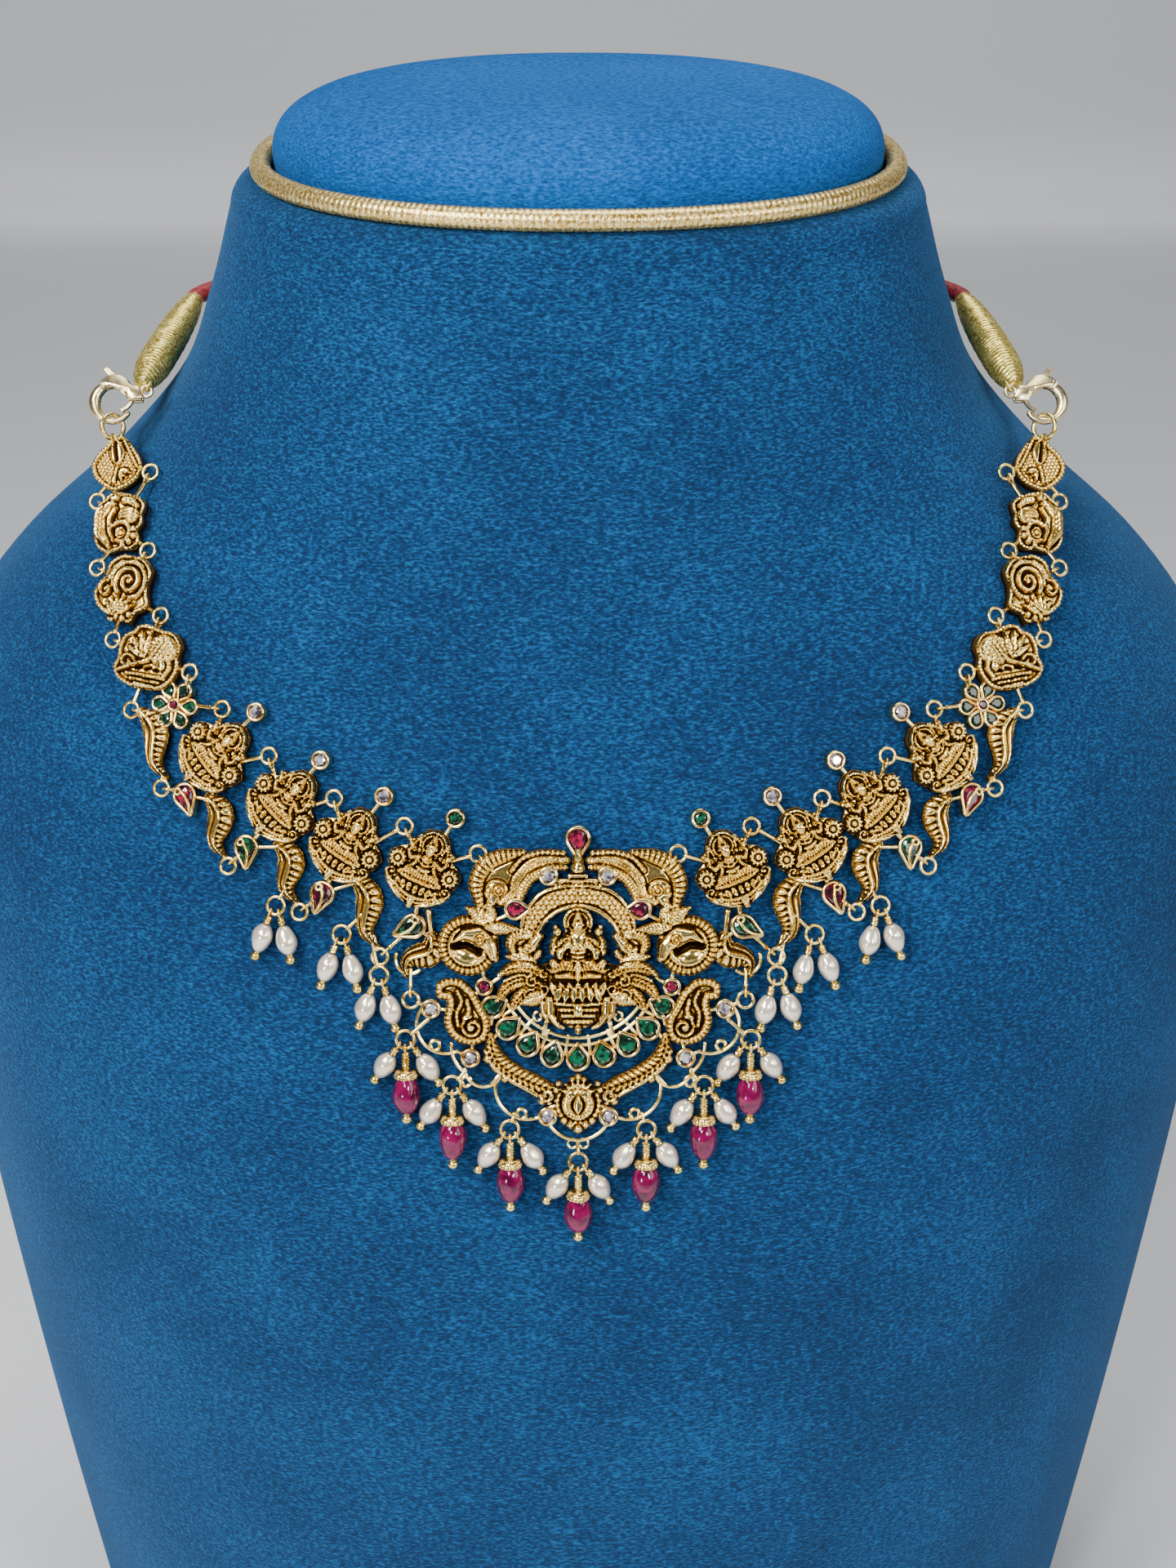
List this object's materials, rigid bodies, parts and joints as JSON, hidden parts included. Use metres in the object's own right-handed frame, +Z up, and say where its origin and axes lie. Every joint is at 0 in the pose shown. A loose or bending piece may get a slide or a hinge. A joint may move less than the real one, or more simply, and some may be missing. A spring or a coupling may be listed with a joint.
{
  "type": "temple jewellery necklace on a neck bust",
  "caption": "Temple jewellery necklace: cast goddess pendant and plaques, linked motifs, ruby beads and pearls, two lever clasps and a back cord, on a velvet neck bust.",
  "frame": {"origin": "centre of the neck bust's base, on the surface it stands on", "axes": "+Z up, -Y the way the pendant faces, +X to the right seen from the front"},
  "size_m": [0.2256, 0.1406, 0.2806],
  "materials": {
    "bust_velvet": "short pile velvet, matt",
    "cap_velvet": "short pile velvet, matt",
    "gold_twist": "twisted metallic thread",
    "antique_gold": "cast, antique plated, dark in the recesses",
    "plain_gold": "drawn wire, plated and polished",
    "zari_thread": "wound metallic thread",
    "red_cord": "braided silk, satin",
    "ruby_glass": "cut and polished",
    "emerald_glass": "cut and polished",
    "clear_stone": "cut and polished",
    "ruby_bead": "polished, translucent",
    "pearl": "pearl lustre"
  },
  "bodies": {
    "root": {"bust": "bust_velvet", "neck_cap": "cap_velvet", "neck_trim": "gold_twist", "pendant_frame": "antique_gold", "leaf_link_left": "antique_gold", "leaf_link_right": "antique_gold", "peacock_link_left": "antique_gold", "peacock_link_right": "antique_gold", "paisley_link_left": "antique_gold", "paisley_link_right": "antique_gold", "bird_link_left": "antique_gold", "bird_link_right": "antique_gold", "flower_link_left": "antique_gold", "flower_link_right": "antique_gold", "goddess_plaque_left_1": "antique_gold", "goddess_plaque_left_2": "antique_gold", "goddess_plaque_left_3": "antique_gold", "goddess_plaque_left_4": "antique_gold", "goddess_plaque_right_1": "antique_gold", "goddess_plaque_right_2": "antique_gold", "goddess_plaque_right_3": "antique_gold", "goddess_plaque_right_4": "antique_gold", "clasp_left": "plain_gold", "clasp_right": "plain_gold", "jump_ring_left": "plain_gold", "jump_ring_right": "plain_gold", "zari_winding_left": "zari_thread", "zari_winding_right": "zari_thread", "cord_back": "red_cord", "pendant_rubies": "ruby_glass", "pendant_emeralds": "emerald_glass", "pendant_diamonds": "clear_stone", "side_rubies": "ruby_glass", "side_emeralds": "emerald_glass", "side_diamonds": "clear_stone", "ruby_bead_1": "ruby_bead", "ruby_bead_2": "ruby_bead", "ruby_bead_3": "ruby_bead", "ruby_bead_4": "ruby_bead", "ruby_bead_5": "ruby_bead", "ruby_bead_6": "ruby_bead", "ruby_bead_7": "ruby_bead", "bead_caps": "plain_gold", "cluster_pearls_1": "pearl", "cluster_pearls_2": "pearl", "cluster_pearls_3": "pearl", "cluster_pearls_4": "pearl", "cluster_pearls_5": "pearl", "cluster_pearls_6": "pearl", "cluster_pearls_7": "pearl", "pearl_pairs_left": "pearl", "pearl_pairs_right": "pearl", "head_pins_left": "plain_gold", "head_pins_centre": "plain_gold", "head_pins_right": "plain_gold"},
    "lever_left": {"clasp_lever_left": "plain_gold"},
    "lever_right": {"clasp_lever_right": "plain_gold"}
  },
  "joints": [
    {"name": "clasp_lever_left_hinge", "type": "hinge", "parent": "root", "child": "lever_left", "pos_m": [-0.07195, -0.01437, 0.23508], "axis": [0, 0.866, -0.5], "range_deg": [0, 30], "stiffness_Nm_per_rad": 0.002, "springref_deg": -11.46},
    {"name": "clasp_lever_right_hinge", "type": "hinge", "parent": "root", "child": "lever_right", "pos_m": [0.07195, -0.01437, 0.23508], "axis": [0, -0.866, 0.5], "range_deg": [0, 30], "stiffness_Nm_per_rad": 0.002, "springref_deg": -11.46}
  ]
}
